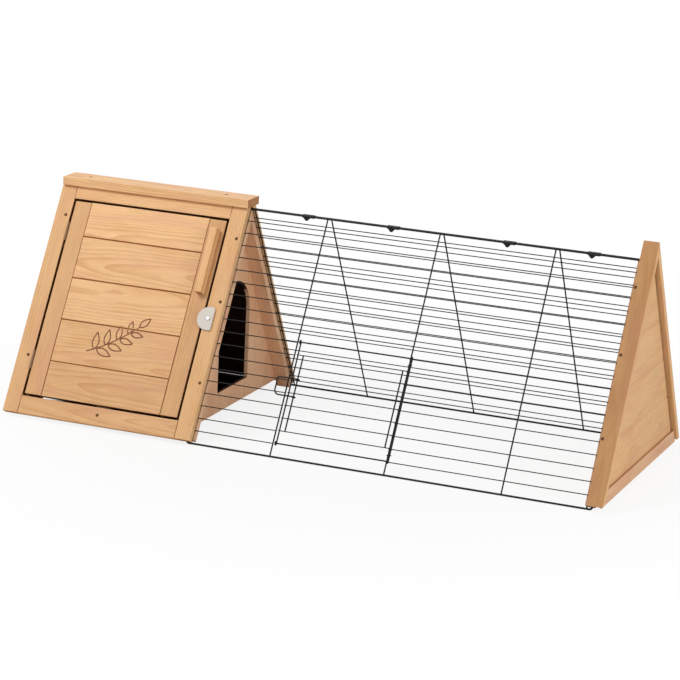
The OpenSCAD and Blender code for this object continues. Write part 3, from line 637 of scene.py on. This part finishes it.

# Floor. The camera sees it white further out. Under the hutch it is painted near black as shade, softly towards the
# ends.
FLOOR_HALF, FLOOR_Z = 8.0, -0.0005
# The second colour is painted shade: a near-black floor under the hutch
FLOOR_COLOUR, PAINTED_SHADE_FLOOR_COLOUR = "#ECEBE9", "#191512"
FLOOR_WHITE = {"From Min": 0.5, "From Max": 1.1, "To Min": 0.85, "To Max": 1.0}
PAINTED_SHADE_FLOOR_AT, PAINTED_SHADE_FLOOR_HALF = (-0.452, 0.017), (0.180, 0.255)
PAINTED_SHADE_FLOOR_SOFT = 0.055
material, tree, shader = new_material("studio_floor")
where = add(tree, "TexCoord").outputs["Object"]
far_off = add(tree, "VectorMath", {0: where}, operation="LENGTH").outputs["Value"]
white_share = add(tree, "MapRange", {"Value": far_off, **FLOOR_WHITE}).outputs["Result"]
from_hutch = add(tree, "VectorMath", {0: where, 1: (-PAINTED_SHADE_FLOOR_AT[0], -PAINTED_SHADE_FLOOR_AT[1], 0)}, operation="ADD")
across_hutch = add(tree, "VectorMath", {0: from_hutch.outputs[0]}, operation="ABSOLUTE")
sides = add(tree, "SeparateXYZ", {0: across_hutch.outputs[0]})
past_x = add(tree, "MapRange", {"Value": sides.outputs["X"], "From Min": PAINTED_SHADE_FLOOR_HALF[0] - PAINTED_SHADE_FLOOR_SOFT,
                                "From Max": PAINTED_SHADE_FLOOR_HALF[0]}, interpolation_type="SMOOTHSTEP")
past_y = add(tree, "Math", {0: sides.outputs["Y"], 1: PAINTED_SHADE_FLOOR_HALF[1]}, operation="GREATER_THAN")
outside_painted_shade = add(tree, "Math", {0: past_x.outputs["Result"], 1: past_y.outputs[0]}, operation="MAXIMUM").outputs[0]
seen_white = add(tree, "Math", {0: white_share, 1: outside_painted_shade}, operation="MULTIPLY")
seen_white = add(tree, "Math", {0: seen_white.outputs[0], 1: add(tree, "LightPath").outputs["Is Camera Ray"]},
                 operation="MULTIPLY")
# Painted shade: the floor's colour goes near black under the hutch
base_colour = add(tree, "Mix", {"Factor": outside_painted_shade, "A": srgb(PAINTED_SHADE_FLOOR_COLOUR), "B": srgb(FLOOR_COLOUR)},
                  data_type="RGBA")
tree.links.new(base_colour.outputs["Result"], shader.inputs["Base Color"])
shader.inputs["Roughness"].default_value = 0.9
shader.inputs["Specular IOR Level"].default_value = 0.0
white = add(tree, "Emission", {"Color": (1, 1, 1, 1), "Strength": 1.0})
mixed = add(tree, "MixShader", {"Fac": seen_white.outputs[0], 1: shader.outputs["BSDF"], 2: white.outputs[0]})
tree.links.new(mixed.outputs[0], tree.nodes["Material Output"].inputs["Surface"])
floor_mesh = bpy.data.meshes.new("floor")
corners = [(-1, -1), (1, -1), (1, 1), (-1, 1)]
floor_mesh.from_pydata([(x * FLOOR_HALF, y * FLOOR_HALF, FLOOR_Z) for x, y in corners], [], [(0, 1, 2, 3)])
floor = link_mesh("floor", floor_mesh, material)

# Background, white where it is seen
SKY_LEVEL = 0.40
world = bpy.data.worlds.new("studio")
scene.world = world
world.use_nodes = True
tree = world.node_tree
tree.nodes.clear()
light_path = add(tree, "LightPath")
seen = light_path.outputs["Is Camera Ray"]
for kind in ("Is Glossy Ray", "Is Transmission Ray"):
    seen = add(tree, "Math", {0: seen, 1: light_path.outputs[kind]}, operation="MAXIMUM").outputs[0]
level = add(tree, "MapRange", {"Value": seen, "To Min": SKY_LEVEL, "To Max": 1.0})
background = add(tree, "Background", {"Color": (1, 1, 1, 1), "Strength": level.outputs["Result"]})
add(tree, "OutputWorld", {"Surface": background.outputs[0]})


# Soft studio light
def softbox(name, at, toward, size, power):
    """A square area lamp at a place, turned to face a point."""
    lamp = bpy.data.lights.new(name, "AREA")
    lamp.size, lamp.energy = size, power
    obj = bpy.data.objects.new(name, lamp)
    scene.collection.objects.link(obj)
    obj.location = at
    obj.rotation_euler = (Vector(toward) - Vector(at)).to_track_quat("-Z", "Y").to_euler()


softbox("key_light", (-1.35, -1.45, 2.3), (-0.2, 0, 0.2), 1.3, 42.0)
softbox("back_light", (-1.2, 2.6, 2.2), (0, 0, 0.2), 1.6, 20.0)
softbox("side_light", (3.0, -1.3, 1.3), (0.2, 0, 0.2), 1.4, 38.0)
